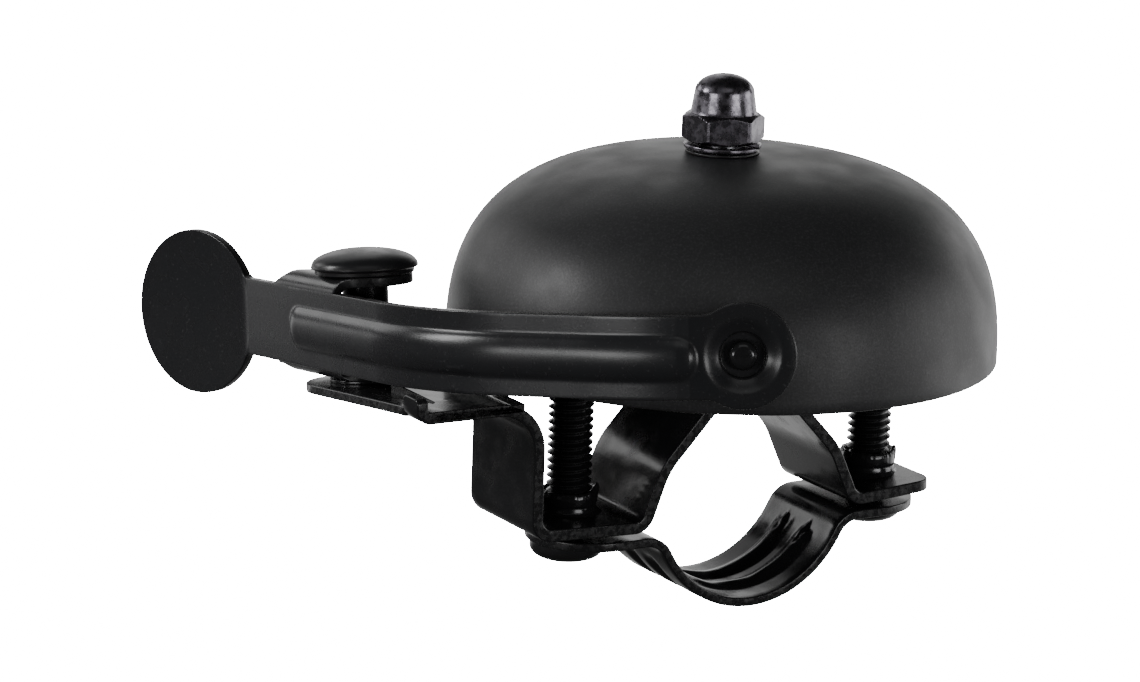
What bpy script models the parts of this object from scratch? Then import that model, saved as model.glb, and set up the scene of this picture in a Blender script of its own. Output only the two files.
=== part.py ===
"""Bicycle bell for a 22.2 mm handlebar: dome, striker lever, bracket and strap clamp.

Frame: the origin is on the handlebar's axis, straight below the dome's centre. +Y runs along
the handlebar, +X runs across it towards the long clamp tongue, and +Z is up through the dome.
"""
import math

import bmesh
import bpy
from mathutils import Matrix, Vector

MM = 0.001
GAP = 0.08 * MM                 # between two flat faces that rest on each other
CLEAR = 0.3 * MM                # round a shaft or a screw

# Bell dome and what holds it
RIM_Z = 17.0 * MM
DOME_R = 30.0 * MM
DOME_H = 21.6 * MM
DOME_WALL = 1.6 * MM
DOME_ROUND_R = 3.05             # superellipse power across the dome
DOME_ROUND_Z = 2.65             # superellipse power up the dome
STUD_R = 2.4 * MM
STUD_HOLE_R = 3.3 * MM          # in the dome, loose enough for the stud to sit off its centre
POST_X, POST_Y = -0.62 * MM, 0.38 * MM
POST_R = 4.0 * MM
SHOULDER_R = 5.5 * MM
SHOULDER_H = 1.5 * MM
CUSHION_H = 0.8 * MM
WASHER_R = 4.3 * MM
WASHER_H = 0.25 * MM
SPRING_WASHER_R = 4.0 * MM
SPRING_WASHER_H = 0.8 * MM
NUT_ACROSS_FLATS = 8.0 * MM
NUT_HEX_H = 3.1 * MM
NUT_H = 7.3 * MM
NUT_CAP_R = 3.7 * MM
NUT_TURN = math.radians(-16)

# Sheet-metal bracket: tongue, saddle, flange, wall and lever arm
SHEET = 1.3 * MM
WIDTH = 13.4 * MM
CLAMP_Y = -0.45 * MM            # middle of the sheets' width
TONGUE_Z = RIM_Z - 16.8 * MM
TONGUE_TIP_X = 24.6 * MM
TONGUE_CORNER_R = 2.0 * MM
KNEE_X, KNEE_Z = 11.0 * MM, RIM_Z - 10.8 * MM
FOOT_X, FOOT_Z = 13.9 * MM, RIM_Z - 17.0 * MM
CROWN_HALF = 4.2 * MM
CROWN_Z = RIM_Z - 3.7 * MM
WALL_X = -26.5 * MM
SHELF_Z = RIM_Z - 2.3 * MM
SHELF_END_X = -39.6 * MM
COLLAR_R = 3.3 * MM
COLLAR_H = 3.0 * MM

# Clamp strap and its two screws
STRAP_SHEET = 1.0 * MM
STRAP_X = 0.9 * MM
STRAP_Z = RIM_Z - 18.75 * MM
STRAP_R = 12.4 * MM
STRAP_BORE_Z = RIM_Z - 14.6 * MM
STRAP_HALF = 24.0 * MM
STRAP_BEND_R = 3.0 * MM
SCREW_X = 19.5 * MM             # from the strap's middle
SCREW_R = 2.4 * MM
SCREW_LENGTH = 20.0 * MM
HEAD_R = 4.0 * MM
HEAD_H = 2.2 * MM

# Striker lever, built upright round its pivot and then leant back
PIVOT = Vector((-34.0 * MM, 17.8 * MM, RIM_Z))
LEAN = math.radians(7.1)
LEVER_SHEET = 1.1 * MM
ARM_X = -39.1 * MM              # outer face of the arm's straight part
ARM_MID = 1.3 * MM              # middle of the arm above the pivot point, along the pin
ARM_HALF = 4.3 * MM
EAR_TOP, EAR_LOW = 7.3 * MM, -3.95 * MM
PLATE_TOP = -4.4 * MM
PLATE_SHEET = 0.9 * MM
ORBIT_R = 34.6 * MM             # outer face of the arm where it follows the dome
STRIKER_ANGLE = math.radians(-118.7)
STRIKER_R = 5.4 * MM
PADDLE_R = 9.3 * MM
PADDLE_CENTRE = 8.1 * MM        # from the neck
PADDLE_WAY = Vector((-0.304, 0.953))
EAR_R = 5.2 * MM
FOLD_FROM, FOLD_TO = 16.2 * MM, 27.1 * MM
PIN_R = 1.5 * MM
BUSH_R = 2.4 * MM
WIRE_R = 0.42 * MM
COIL_R = 3.3 * MM
COIL_TURNS = 6.25
COIL_PITCH = 0.95 * MM

DARK = (0.03, 0.03, 0.033, 1)


def clear_scene():
    for obj in list(bpy.data.objects):
        bpy.data.objects.remove(obj, do_unlink=True)


def material(name, colour=DARK, roughness=0.45, metallic=0.3):
    mat = bpy.data.materials.new(name)
    mat.use_nodes = True
    shader = mat.node_tree.nodes["Principled BSDF"]
    shader.inputs["Base Color"].default_value = colour
    shader.inputs["Roughness"].default_value = roughness
    shader.inputs["Metallic"].default_value = metallic
    return mat


def add_object(name, bm, mat=None):
    bmesh.ops.recalc_face_normals(bm, faces=bm.faces)
    mesh = bpy.data.meshes.new(name)
    bm.to_mesh(mesh)
    bm.free()
    mesh.shade_smooth()
    mesh.set_sharp_from_angle(angle=math.radians(35))
    obj = bpy.data.objects.new(name, mesh)
    bpy.context.collection.objects.link(obj)
    if mat:
        mesh.materials.append(mat)
    return obj


def cutter(obj):
    obj.hide_render = True
    obj.display_type = "WIRE"
    return obj


def boolean(obj, other, operation):
    mod = obj.modifiers.new(other.name, "BOOLEAN")
    mod.operation = operation
    mod.object = cutter(other)


def prism(name, outline, low, high, mat=None):
    """A solid with the flat outline (x, y) from height low to height high."""
    bm = bmesh.new()
    bottom = bm.faces.new([bm.verts.new((x, y, low)) for x, y in outline])
    grown = bmesh.ops.extrude_face_region(bm, geom=[bottom])
    tops = [v for v in grown["geom"] if isinstance(v, bmesh.types.BMVert)]
    bmesh.ops.translate(bm, verts=tops, vec=(0, 0, high - low))
    return add_object(name, bm, mat)


def circle(radius, steps, centre=(0, 0), start=0.0):
    return [(centre[0] + radius * math.cos(start + 2 * math.pi * i / steps),
             centre[1] + radius * math.sin(start + 2 * math.pi * i / steps)) for i in range(steps)]


def rod(name, radius, low, high, steps=24, centre=(0, 0), mat=None):
    return prism(name, circle(radius, steps, centre), low, high, mat)


def turned(name, profile, mat=None, steps=32):
    """A solid of revolution about Z; the profile is a closed loop of (radius, height)."""
    bm = bmesh.new()
    rings = []
    for radius, height in profile:
        if radius < 1e-7:
            rings.append([bm.verts.new((0, 0, height))])
        else:
            rings.append([bm.verts.new((x, y, height)) for x, y in circle(radius, steps)])
    pairs = list(zip(rings, rings[1:]))
    if len(rings[0]) > 1:
        pairs.append((rings[-1], rings[0]))
    for low, high in pairs:
        for i in range(steps):
            j = (i + 1) % steps
            ring = [low[i % len(low)], low[j % len(low)], high[j % len(high)], high[i % len(high)]]
            corners = list(dict.fromkeys(ring))
            if len(corners) > 2:
                bm.faces.new(corners)
    return add_object(name, bm, mat)


def rounded_path(corners, radii, step=math.radians(12)):
    """The corners (Vectors in a plane) joined by straight runs, each inner corner made an arc."""
    points = [corners[0]]
    for before, corner, after, radius in zip(corners, corners[1:], corners[2:], radii):
        inward, outward = (before - corner).normalized(), (after - corner).normalized()
        half = inward.angle(outward) / 2
        reach = radius / math.tan(half)
        centre = corner + (inward + outward).normalized() * radius / math.sin(half)
        first = corner + inward * reach - centre
        turn = first.angle_signed(corner + outward * reach - centre)
        count = max(2, math.ceil(abs(turn) / step))
        for i in range(count + 1):
            points.append(centre + Matrix.Rotation(-turn * i / count, 2) @ first)
    points.append(corners[-1])
    return points[:1] + [b for a, b in zip(points, points[1:]) if (b - a).length > 0.02 * MM]


def side_directions(path):
    """The unit normal to the right of the way at each point of an open plane path."""
    normals = []
    for i, point in enumerate(path):
        before, after = path[max(i - 1, 0)], path[min(i + 1, len(path) - 1)]
        way_in = (point - before).normalized() if i else (after - point).normalized()
        way_out = (after - point).normalized() if i < len(path) - 1 else way_in
        mean = (way_in + way_out).normalized()
        normals.append(Vector((mean.y, -mean.x)) / max(mean.dot(way_in), 0.5))
    return normals


def distances(path):
    total, along = 0.0, [0.0]
    for a, b in zip(path, path[1:]):
        total += (b - a).length
        along.append(total)
    return along


def strip(name, path, thickness, low, high, place, mat, rows=1):
    """Bent sheet: a path with a thickness, between the edges low(s) and high(s) at distance s."""
    along, normals = distances(path), side_directions(path)
    bm = bmesh.new()
    sections = []
    for point, normal, s in zip(path, normals, along):
        section = []
        for side in (-0.5, 0.5):
            flat = point + normal * thickness * side
            heights = [low(s) + (high(s) - low(s)) * row / rows for row in range(rows + 1)]
            if side > 0:
                heights.reverse()
            section += [bm.verts.new(place(flat, height)) for height in heights]
        sections.append(section)
    for one, two in zip(sections, sections[1:]):
        for i in range(len(one)):
            j = (i + 1) % len(one)
            bm.faces.new((one[i], one[j], two[j], two[i]))
    bm.faces.new(sections[0])
    bm.faces.new(list(reversed(sections[-1])))
    return add_object(name, bm, mat)


def round_end(s, total, half, radius):
    """Half-width of a strip whose far end has corners of one radius, up to a half circle."""
    inside = max(0.0, s - (total - radius))
    return half - radius + math.sqrt(max(radius ** 2 - inside ** 2, (0.08 * radius) ** 2))


def refine_end(path, radius, reach, steps=7):
    """Adds points along the last straight run, closer together towards the tip."""
    tip, back = path[-1], (path[-2] - path[-1]).normalized()
    widest = math.acos(1 - reach / radius)
    turns = [widest * (1 - i / steps) for i in range(steps + 1)]
    return path[:-1] + [tip + back * radius * (1 - math.cos(turn)) for turn in turns]


def on_post(obj):
    """Moves a piece made on the bell's axis onto the post, which stands a little off it."""
    obj.location.x += POST_X
    obj.location.y += POST_Y
    return obj


def lean(obj):
    """Leans a lever piece back about the pivot point."""
    obj.matrix_world = Matrix.Translation(PIVOT) @ Matrix.Rotation(-LEAN, 4, "X") @ obj.matrix_world


# ---------------------------------------------------------------- dome group

def dome_curve(inset, count=15):
    points = []
    for i in range(count + 1):
        t = math.pi / 2 * i / count
        points.append(((DOME_R - inset) * abs(math.cos(t)) ** (2 / DOME_ROUND_R),
                       RIM_Z + (DOME_H - inset) * math.sin(t) ** (2 / DOME_ROUND_Z)))
    return points


def make_dome():
    hole = STUD_HOLE_R
    outer = [p for p in dome_curve(0) if p[0] > hole + MM]
    inner = [p for p in dome_curve(DOME_WALL) if p[0] > hole + MM]
    top, under = RIM_Z + DOME_H, RIM_Z + DOME_H - DOME_WALL
    profile = outer + [(hole, top), (hole, under)] + inner[::-1]
    turned("bell_dome", profile, material("bell_dome", roughness=0.6, metallic=0.0), steps=60)


def make_dome_fixings():
    top = RIM_Z + DOME_H + GAP
    under = RIM_Z + DOME_H - DOME_WALL - GAP
    metal = material("fixings", (0.06, 0.055, 0.065, 1), 0.25, 0.9)
    hole = STUD_R + CLEAR
    washer = [(hole, 0), (WASHER_R, 0), (WASHER_R, WASHER_H), (hole, WASHER_H)]
    on_post(turned("plain_washer", [(r, top + z) for r, z in washer], metal))
    make_spring_washer(top + WASHER_H + GAP, metal)
    make_nut(top + WASHER_H + SPRING_WASHER_H + 2 * GAP, metal)
    cushion = [(hole, -CUSHION_H), (SHOULDER_R, -CUSHION_H), (SHOULDER_R, 0), (hole, 0)]
    on_post(turned("cushion_washer", [(r, under + z) for r, z in cushion],
                   material("cushion_washer", (0.02, 0.02, 0.02, 1), 0.9, 0.0)))
    on_post(make_post(under - CUSHION_H - GAP, top + 5.2 * MM))


def make_spring_washer(bottom, mat, slit=math.radians(14), steps=40):
    """A split ring whose two ends are a little apart in height."""
    inner, turn = STUD_R + CLEAR, 2 * math.pi - slit
    height, spread = SPRING_WASHER_H * 0.8, SPRING_WASHER_H * 0.2
    bm = bmesh.new()
    rings = []
    for i in range(steps + 1):
        angle = math.radians(-8) + slit / 2 + turn * i / steps
        base = bottom + spread * i / steps
        way = Vector((math.cos(angle), math.sin(angle), 0))
        corners = ((inner, 0), (SPRING_WASHER_R, 0), (SPRING_WASHER_R, height), (inner, height))
        rings.append([bm.verts.new(way * r + Vector((0, 0, base + z))) for r, z in corners])
    for one, two in zip(rings, rings[1:]):
        for i in range(4):
            j = (i + 1) % 4
            bm.faces.new((one[i], one[j], two[j], two[i]))
    bm.faces.new(rings[0])
    bm.faces.new(list(reversed(rings[-1])))
    on_post(add_object("spring_washer", bm, mat))


def make_nut(base, mat):
    """Acorn nut: a chamfered hexagon under a domed cap, with a blind hole from below."""
    corner_r = NUT_ACROSS_FLATS / math.sqrt(3)
    cap_h = NUT_H - NUT_HEX_H
    cap = [(0, NUT_HEX_H - 0.3 * MM), (NUT_CAP_R, NUT_HEX_H - 0.3 * MM)]
    for i in range(10):
        t = math.pi / 2 * i / 10
        cap.append((NUT_CAP_R * math.cos(t) ** 0.8, NUT_HEX_H + cap_h * math.sin(t) ** 1.05))
    cap.append((0, NUT_H))
    nut = prism("acorn_nut", circle(corner_r, 6, start=NUT_TURN), 0, NUT_HEX_H, mat)
    chamfer, mid = corner_r + MM, NUT_HEX_H / 2
    flat_r = NUT_ACROSS_FLATS / 2 - 0.05 * MM
    slope = math.tan(math.radians(30))
    cone_top = (chamfer - flat_r) * slope
    lathe = [(0, 0), (flat_r, 0), (chamfer, cone_top), (chamfer, mid),
             (chamfer, NUT_HEX_H - cone_top), (flat_r, NUT_HEX_H), (0, NUT_HEX_H)]
    boolean(nut, turned("nut_chamfer_guide", lathe), "INTERSECT")
    boolean(nut, turned("nut_cap_guide", cap), "UNION")
    boolean(nut, rod("nut_hole_guide", STUD_R + 0.2 * MM, -MM, 4.9 * MM), "DIFFERENCE")
    for name in ("acorn_nut", "nut_chamfer_guide", "nut_cap_guide", "nut_hole_guide"):
        on_post(bpy.data.objects[name]).location.z = base


def make_post(shoulder_top, stud_top):
    """Turned post: tail staked flush in the crown, seat, shoulder under the dome, threaded stud."""
    seat = CROWN_Z + SHEET / 2 + GAP
    tail_r = STUD_R - GAP
    tail = CROWN_Z - SHEET / 2 + GAP
    profile = [(0, tail), (tail_r, tail), (tail_r, seat), (POST_R, seat),
               (POST_R, shoulder_top - SHOULDER_H), (SHOULDER_R, shoulder_top - SHOULDER_H),
               (SHOULDER_R, shoulder_top), (STUD_R, shoulder_top), (STUD_R, stud_top), (0, stud_top)]
    return turned("centre_post", profile, material("centre_post", (0.35, 0.35, 0.36, 1), 0.35, 0.9))


# ---------------------------------------------------------------- bracket and clamp

def bracket_path():
    slope = (CROWN_Z - KNEE_Z) / (KNEE_X - CROWN_HALF)
    wall_foot = FOOT_Z + 0.5 * MM
    corners = [Vector(c) for c in (
        (TONGUE_TIP_X, TONGUE_Z + 0.5 * MM), (FOOT_X, FOOT_Z), (KNEE_X, KNEE_Z),
        (CROWN_HALF, KNEE_Z + slope * (KNEE_X - CROWN_HALF)), (-CROWN_HALF, CROWN_Z),
        (-KNEE_X + 0.2 * MM, KNEE_Z), (-FOOT_X + 0.8 * MM, FOOT_Z), (WALL_X, wall_foot),
        (WALL_X, SHELF_Z), (SHELF_END_X, SHELF_Z))]
    radii = [2.0 * MM, 8.0 * MM, 3.0 * MM, 3.0 * MM, 8.0 * MM, 1.8 * MM, 1.9 * MM, 4.9 * MM]
    return rounded_path(corners, radii)


def make_bracket():
    path = refine_end(bracket_path()[::-1], TONGUE_CORNER_R, TONGUE_CORNER_R)
    total = distances(path)[-1]

    def high(s):
        return round_end(s, total, WIDTH / 2, TONGUE_CORNER_R)

    bracket = strip("bracket", path, SHEET, lambda s: CLAMP_Y - high(s), lambda s: CLAMP_Y + high(s),
                    lambda flat, height: (flat.x, height, flat.y),
                    material("bracket", roughness=0.35, metallic=0.4))
    boolean(bracket, make_lever_plate(), "UNION")
    for side in (-1, 1):
        centre = (STRAP_X + side * SCREW_X, 0)
        low = FOOT_Z if side < 0 else TONGUE_Z
        boolean(bracket, rod(f"collar_guide_{side}", COLLAR_R, low, low + SHEET / 2 + COLLAR_H,
                             centre=centre), "UNION")
        boolean(bracket, rod(f"collar_hole_guide_{side}", SCREW_R + CLEAR, low - 5 * MM,
                             low + 9 * MM, centre=centre), "DIFFERENCE")
    boolean(bracket, rod("crown_hole_guide", STUD_R, CROWN_Z - 3 * MM, CROWN_Z + 3 * MM,
                         centre=(POST_X, POST_Y)), "DIFFERENCE")
    pin_hole = rod("plate_hole_guide", PIN_R + GAP, -9 * MM, 2 * MM, steps=24)
    lean(pin_hole)
    boolean(bracket, pin_hole, "DIFFERENCE")


def make_lever_plate():
    """The flat of the bracket that runs back to the pivot, in the lever's leant plane."""
    outer, inner = -40.8 * MM - PIVOT.x, -28.4 * MM - PIVOT.x
    front = CLAMP_Y - WIDTH / 2 - PIVOT.y
    end_r = (inner - outer) / 2
    middle = (inner + outer) / 2
    outline = [(outer, front), (inner, front)]
    outline += [(middle + end_r * math.cos(a), end_r * math.sin(a))
                for a in (math.pi * i / 14 for i in range(15))]
    plate = prism("lever_plate_guide", outline, PLATE_TOP - PLATE_SHEET, PLATE_TOP)
    lean(plate)
    return plate


def strap_path():
    """Flat ears, each joined to the half-round by an arc that touches both."""
    drop = STRAP_BORE_Z - STRAP_Z
    near = math.sqrt((STRAP_R + STRAP_BEND_R) ** 2 - (drop + STRAP_BEND_R) ** 2)
    joint = math.degrees(math.atan2(drop + STRAP_BEND_R, near))
    bend_z = STRAP_Z - STRAP_BEND_R
    arcs = [(-near, bend_z, STRAP_BEND_R, 90, joint, 6), (0, STRAP_BORE_Z, STRAP_R, 180 + joint, 360 - joint, 16),
            (near, bend_z, STRAP_BEND_R, 180 - joint, 90, 6)]
    points = [Vector((-STRAP_HALF, STRAP_Z))]
    for x, z, radius, start, end, count in arcs:
        turns = [math.radians(start + (end - start) * i / count) for i in range(count + 1)]
        points += [Vector((x + radius * math.cos(a), z + radius * math.sin(a))) for a in turns]
    points.append(Vector((STRAP_HALF, STRAP_Z)))
    points = [b for a, b in zip([None] + points, points) if a is None or (b - a).length > 0.02 * MM]
    return [Vector((STRAP_X + p.x, p.y)) for p in points]


def make_strap():
    one_end = refine_end(strap_path(), WIDTH / 2, WIDTH / 2)
    path = refine_end(one_end[::-1], WIDTH / 2, WIDTH / 2)
    total = distances(path)[-1]

    def high(s):
        return min(round_end(s, total, WIDTH / 2, WIDTH / 2),
                   round_end(total - s, total, WIDTH / 2, WIDTH / 2))

    strap = strip("lower_strap", path, STRAP_SHEET, lambda s: CLAMP_Y - high(s),
                  lambda s: CLAMP_Y + high(s), lambda flat, height: (flat.x, height, flat.y),
                  material("lower_strap", roughness=0.3, metallic=0.4))
    for side in (-1, 1):
        boolean(strap, rod(f"strap_hole_guide_{side}", SCREW_R + CLEAR, STRAP_Z - 3 * MM,
                           STRAP_Z + 3 * MM, centre=(STRAP_X + side * SCREW_X, 0)), "DIFFERENCE")


def make_screws():
    """Pan-head screws, heads below the strap, with a cross recess."""
    under = STRAP_Z - STRAP_SHEET / 2 - GAP
    metal = material("clamp_screws", (0.02, 0.02, 0.022, 1), 0.2, 0.8)
    for side, name in ((-1, "clamp_screw_left"), (1, "clamp_screw_right")):
        head = [(HEAD_R - 0.15 * MM, 0), (HEAD_R, -0.3 * MM), (HEAD_R, -0.8 * MM)]
        for i in range(1, 7):
            t = math.pi / 2 * i / 6
            head.append((HEAD_R * math.cos(t) ** 0.7, -0.8 * MM - (HEAD_H - 0.8 * MM) * math.sin(t)))
        profile = [(0, SCREW_LENGTH), (SCREW_R - 0.4 * MM, SCREW_LENGTH),
                   (SCREW_R, SCREW_LENGTH - 0.5 * MM), (SCREW_R, 0)] + head[:-1] + [(0, -HEAD_H)]
        screw = turned(name, profile, metal, steps=32)
        slots = [prism(f"{name}_slot_{turn}", [(-a, -b), (a, -b), (a, b), (-a, b)], -HEAD_H - MM, -1.0 * MM)
                 for turn, (a, b) in enumerate(((2.0 * MM, 0.4 * MM), (0.4 * MM, 2.0 * MM)))]
        for slot in slots:
            boolean(screw, slot, "DIFFERENCE")
        for piece in [screw] + slots:
            piece.location = (STRAP_X + side * SCREW_X, 0, under)


# ---------------------------------------------------------------- lever group

def striker_centre():
    """The middle of the lever's round end, from the bell's axis; the round end is flat."""
    middle_r = ORBIT_R - LEVER_SHEET / 2
    out = Vector((math.cos(STRIKER_ANGLE), math.sin(STRIKER_ANGLE)))
    return out * math.sqrt(middle_r ** 2 - STRIKER_R ** 2), out


def arm_path():
    """Plan of the lever's middle surface about the pivot, from the paddle to the striker."""
    inset = LEVER_SHEET / 2
    radius, face = ORBIT_R - inset, ARM_X + inset
    neck = Vector((face, 37.5 * MM))
    tip = neck + PADDLE_WAY.normalized() * (PADDLE_CENTRE + PADDLE_R)
    joins = math.radians(-160)
    end = STRIKER_ANGLE - math.asin(STRIKER_R / radius)
    entry = Vector((math.cos(joins), math.sin(joins))) * radius
    corners = [tip, neck, Vector((face, -1.5 * MM)), entry,
               entry + Vector((-math.sin(joins), math.cos(joins))) * 4 * MM]
    line = rounded_path(corners, [6 * MM, 9 * MM, 8 * MM], math.radians(7))[:-1]
    bends = [30.4, 29.7, 28.9, 28.1, 27.6, 27.1, 16.2, 15.9, 15.5, 15.1, 14.7]
    behind = [p for p in line if p.y > 34 * MM]
    line = behind + [Vector((face, y * MM)) for y in bends] + line[len(behind):]
    start = math.atan2(line[-1].y, line[-1].x)
    count = 14
    line += [Vector((math.cos(a), math.sin(a))) * radius
             for a in (start + (end - start) * i / count for i in range(1, count + 1))]
    centre, out = striker_centre()
    line.append(centre + Vector((-out.y, out.x)) * STRIKER_R)
    line = refine_end(line, STRIKER_R, 1.98 * STRIKER_R, 12)
    line = refine_end(line[::-1], PADDLE_R, 1.75 * PADDLE_R, 16)[::-1]
    return [p - Vector((PIVOT.x, PIVOT.y)) for p in line]


def smooth_step(x, start, end):
    t = min(max((x - start) / (end - start), 0), 1)
    return t * t * (3 - 2 * t)


def disc_half(distance, radius):
    if abs(distance) > radius + 1e-9:
        return 0
    return math.sqrt(max(radius ** 2 - distance ** 2, (0.1 * radius) ** 2))


def make_lever():
    path = arm_path()
    along = distances(path)
    total = along[-1]
    fold_start = [s for s, p in zip(along, path) if p.y + PIVOT.y <= FOLD_TO + 1e-6][0]
    fold_end = fold_start + FOLD_TO - FOLD_FROM

    def reach(s, rise):
        arm = ARM_HALF if PADDLE_R < s < total - STRIKER_R else 0
        ear = smooth_step(s, fold_start - 3.3 * MM, fold_start) - smooth_step(s, fold_end, fold_end + 1.5 * MM)
        return max(arm + ear * rise, disc_half(s - PADDLE_R, PADDLE_R),
                   disc_half(s - total + STRIKER_R, STRIKER_R))

    top_rise = EAR_TOP - ARM_MID - ARM_HALF
    low_rise = ARM_MID - ARM_HALF - EAR_LOW
    lever = strip("striker_lever", path, LEVER_SHEET, lambda s: ARM_MID - reach(s, low_rise),
                  lambda s: ARM_MID + reach(s, top_rise), lambda flat, height: (flat.x, flat.y, height),
                  material("striker_lever", roughness=0.42, metallic=0.35))
    for name, low in (("top_ear_guide", EAR_TOP - LEVER_SHEET), ("low_ear_guide", EAR_LOW)):
        ear = prism(name, ear_outline(), low, low + LEVER_SHEET)
        lean(ear)
        boolean(lever, ear, "UNION")
    pin_hole = rod("ear_hole_guide", PIN_R + CLEAR, -12 * MM, 12 * MM, steps=24)
    lean(pin_hole)
    boolean(lever, pin_hole, "DIFFERENCE")
    lean(lever)
    boolean(lever, make_striker_pin(), "DIFFERENCE")


def ear_outline():
    """Round end about the pin, carried back to the fold along the arm."""
    face = ARM_X + LEVER_SHEET / 2 - PIVOT.x
    turn = [math.radians(205 + 10 * i) for i in range(24)]
    return ([(face, FOLD_FROM - PIVOT.y)] + [(EAR_R * math.cos(a), EAR_R * math.sin(a)) for a in turn]
            + [(face, FOLD_TO - PIVOT.y)])


def make_striker_pin():
    """The hammer riveted through the lever's round end; returns the cutter of its hole."""
    skin = LEVER_SHEET + GAP
    shank, tip = 1.2 * MM, 3.0 * MM
    hammer = [(0, 0.7 * MM), (0.8 * MM, 0.6 * MM), (1.3 * MM, 0.3 * MM), (1.3 * MM, GAP), (shank, GAP),
              (shank, -skin), (2.2 * MM, -skin), (2.2 * MM, -skin - 0.9 * MM),
              (1.6 * MM, -tip + 0.2 * MM), (0, -tip)]
    pin = turned("striker_pin", hammer, material("striker_pin", (0.03, 0.03, 0.03, 1), 0.25, 0.8), steps=24)
    hole = rod("striker_hole_guide", shank + 2 * GAP, -6 * MM, 6 * MM, steps=24)
    middle, out = striker_centre()
    face = middle + out * LEVER_SHEET / 2
    centre = Vector((face.x - PIVOT.x, face.y - PIVOT.y, ARM_MID))
    outward = Vector((out.x, out.y, 0)).to_track_quat("Z", "Y").to_matrix().to_4x4()
    for piece in (pin, hole):
        piece.matrix_world = Matrix.Translation(centre) @ outward
        lean(piece)
    return hole


def make_pivot():
    """Mushroom-headed pin with its bush and the washer under the lever."""
    top, low = EAR_TOP + GAP, EAR_LOW - GAP
    under_plate = PLATE_TOP - PLATE_SHEET
    metal = material("pivot", (0.025, 0.025, 0.027, 1), 0.4, 0.5)
    head_r, head_h = 5.8 * MM, 2.1 * MM
    head = [(head_r, top), (head_r, top + 0.25 * MM)]
    for i in range(1, 8):
        t = math.pi / 2 * i / 7
        head.append((head_r * math.cos(t), top + 0.25 * MM + (head_h - 0.25 * MM) * math.sin(t)))
    shaft = PIN_R - 0.05 * MM
    tail, rivet = under_plate - 1.0 * MM, 2.2 * MM
    profile = [(0, tail), (rivet - 0.3 * MM, tail), (rivet, tail + 0.3 * MM),
               (rivet, under_plate - 0.6 * MM - GAP), (shaft, under_plate - 0.6 * MM - GAP), (shaft, top)]
    lean(turned("pivot_pin", profile + head[:-1] + [(0, top + head_h)], metal, steps=40))
    plate_washer = [(PIN_R + GAP, under_plate - 0.6 * MM), (3.6 * MM, under_plate - 0.6 * MM),
                    (3.6 * MM, under_plate - GAP), (PIN_R + GAP, under_plate - GAP)]
    lean(turned("rivet_washer", plate_washer, metal))
    hole = PIN_R + GAP
    bush_low, bush_top = EAR_LOW + LEVER_SHEET + GAP, EAR_TOP - LEVER_SHEET - GAP
    bush = [(hole, bush_low), (BUSH_R, bush_low), (BUSH_R, bush_top), (hole, bush_top)]
    lean(turned("pivot_bush", bush, metal))
    washer = [(hole, PLATE_TOP + GAP), (4.2 * MM, PLATE_TOP + GAP), (4.2 * MM, low), (hole, low)]
    lean(turned("pivot_washer", washer, metal))


def make_spring():
    """Torsion spring round the bush: one leg along the arm, one hooked over the plate's edge."""
    per_turn = 12
    bottom = EAR_LOW + LEVER_SHEET + WIRE_R + 0.2 * MM
    points = []
    for i in range(int(COIL_TURNS * per_turn) + 1):
        angle = -2 * math.pi * (i / per_turn + 0.25)
        points.append((COIL_R * math.cos(angle), COIL_R * math.sin(angle),
                       bottom + COIL_PITCH * i / per_turn))
    hooked_leg = [(6.9 * MM, -COIL_R, bottom - 4.2 * MM), (6.9 * MM, -COIL_R, bottom - 0.4 * MM),
                  (6.5 * MM, -COIL_R, bottom), (2.0 * MM, -COIL_R, bottom)]
    end = points[-1]
    pushing_leg = [(end[0], 2.0 * MM, end[2]), (end[0], 8.5 * MM, end[2])]
    curve = bpy.data.curves.new("torsion_spring", "CURVE")
    curve.dimensions = "3D"
    curve.bevel_depth = WIRE_R
    curve.bevel_resolution = 1
    curve.use_fill_caps = True
    line = hooked_leg + points + pushing_leg
    spline = curve.splines.new("POLY")
    spline.points.add(len(line) - 1)
    for point, place in zip(spline.points, line):
        point.co = (*place, 1)
    curve.materials.append(material("torsion_spring", (0.2, 0.2, 0.21, 1), 0.3, 1.0))
    spring = bpy.data.objects.new("torsion_spring", curve)
    bpy.context.collection.objects.link(spring)
    lean(spring)


clear_scene()
make_dome()
make_dome_fixings()
make_bracket()
make_strap()
make_screws()
make_lever()
make_pivot()
make_spring()
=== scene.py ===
"""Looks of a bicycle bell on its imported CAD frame: formed sheet, threads, coats and studio light.

Lengths in the shape functions are millimetres in the part's own frame; add_piece makes them metres. Sizes that
several pieces share are named below, and a piece's own sizes stand in its function.
"""
import math

import bmesh
import bpy
from mathutils import Matrix, Vector, noise


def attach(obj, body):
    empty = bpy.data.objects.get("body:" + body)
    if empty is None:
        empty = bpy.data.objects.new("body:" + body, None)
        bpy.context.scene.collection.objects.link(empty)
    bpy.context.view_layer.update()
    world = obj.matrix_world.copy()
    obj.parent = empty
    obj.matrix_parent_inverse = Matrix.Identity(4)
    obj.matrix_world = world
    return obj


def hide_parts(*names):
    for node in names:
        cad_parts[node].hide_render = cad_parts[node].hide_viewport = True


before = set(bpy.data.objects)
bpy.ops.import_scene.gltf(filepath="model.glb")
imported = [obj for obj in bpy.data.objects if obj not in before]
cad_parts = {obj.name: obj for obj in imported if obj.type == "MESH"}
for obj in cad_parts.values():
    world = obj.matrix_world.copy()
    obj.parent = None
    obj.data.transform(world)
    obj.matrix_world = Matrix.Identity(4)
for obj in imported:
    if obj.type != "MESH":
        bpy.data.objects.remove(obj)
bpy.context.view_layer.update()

GAP = 0.08  # between pieces that touch
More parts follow.
